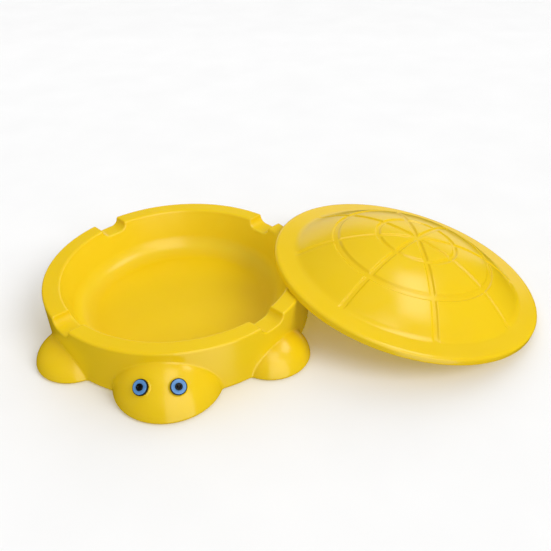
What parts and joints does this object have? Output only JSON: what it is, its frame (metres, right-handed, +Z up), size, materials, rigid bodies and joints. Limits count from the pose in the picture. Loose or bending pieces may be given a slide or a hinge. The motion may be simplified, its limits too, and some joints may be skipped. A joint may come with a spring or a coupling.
{
  "type": "sandbox with cover",
  "caption": "Round turtle-shaped children's sandbox with head, feet and rim notches, and a loose domed lid leaning on its rim.",
  "frame": {"origin": "centre of the tub's flat underside, on the ground", "axes": "+Z up along the tub's axis, -Y towards the turtle's head, +X towards the lid"},
  "size_m": [1.8121, 1.1393, 0.2873],
  "materials": {
    "yellow_polyethylene": "rotomoulded polyethylene, semi-gloss",
    "black_plastic": "gloss",
    "blue_plastic": "gloss",
    "screw_steel": "zinc plated"
  },
  "bodies": {
    "tub": {"tub_shell": "yellow_polyethylene", "vent_plug": "black_plastic", "eye_base_left": "black_plastic", "eye_base_right": "black_plastic", "eye_iris_left": "blue_plastic", "eye_iris_right": "blue_plastic", "eye_pupil_left": "black_plastic", "eye_pupil_right": "black_plastic", "eye_screw_left": "screw_steel", "eye_screw_right": "screw_steel"},
    "lid": {"lid_shell": "yellow_polyethylene"}
  },
  "joints": [
    {"name": "lid_lift", "type": "slide", "parent": "tub", "child": "lid", "axis": [0.2072, 0.0121, 0.9782], "range_m": [0, 0.6]}
  ]
}
